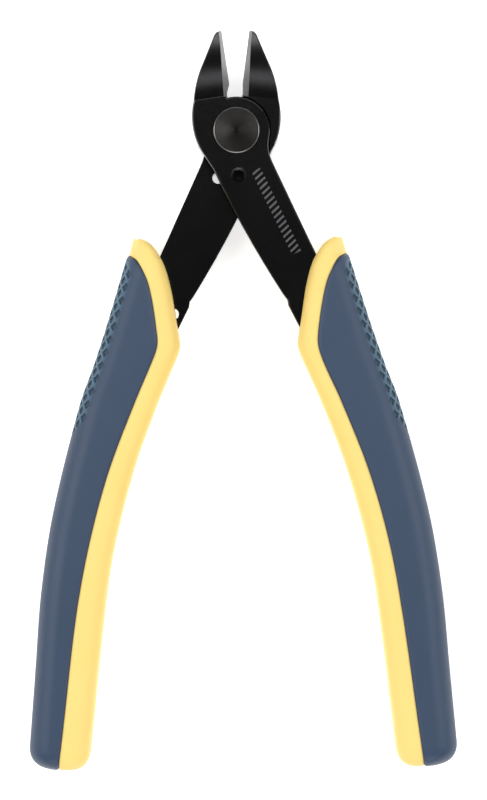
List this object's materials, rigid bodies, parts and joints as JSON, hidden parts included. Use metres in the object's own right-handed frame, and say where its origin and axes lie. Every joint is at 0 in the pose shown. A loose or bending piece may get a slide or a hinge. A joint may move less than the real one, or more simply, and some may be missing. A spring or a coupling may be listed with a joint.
{
  "type": "diagonal cutting pliers",
  "caption": "Small diagonal cutting pliers with black steel lap-joint halves, a round joint screw, a hidden return spring and two-tone moulded grips, standing open.",
  "frame": {"origin": "centre of the joint: on the pivot axis, on the lap plane between the two steel halves", "axes": "+Y from the joint towards the jaw tips, +Z along the pivot axis out of the face with the screw's head, +X to the right seen from that face"},
  "size_m": [0.0644, 0.1108, 0.0116],
  "materials": {
    "black_oxide_steel": "satin black oxide on tool steel, ground bright on the cutting bevels",
    "screw_steel": "turned and blackened steel",
    "spring_steel": "bright music wire",
    "yellow_core": "fine matte moulded plastic",
    "blue_skin": "soft matte overmould with a tread along the outer side"
  },
  "bodies": {
    "back_half": {"back_lever": "black_oxide_steel", "joint_screw": "screw_steel", "return_spring": "spring_steel", "left_grip_core": "yellow_core", "left_grip_skin": "blue_skin"},
    "front_half": {"front_lever": "black_oxide_steel", "right_grip_core": "yellow_core", "right_grip_skin": "blue_skin"}
  },
  "joints": [
    {"name": "jaw_pivot", "type": "hinge", "parent": "back_half", "child": "front_half", "pos_m": [0, 0, 0], "axis": [0, 0, 1], "range_deg": [-15.6, 0], "stiffness_Nm_per_rad": 0.37, "springref_deg": 15.47, "deforming": ["return_spring"]}
  ]
}
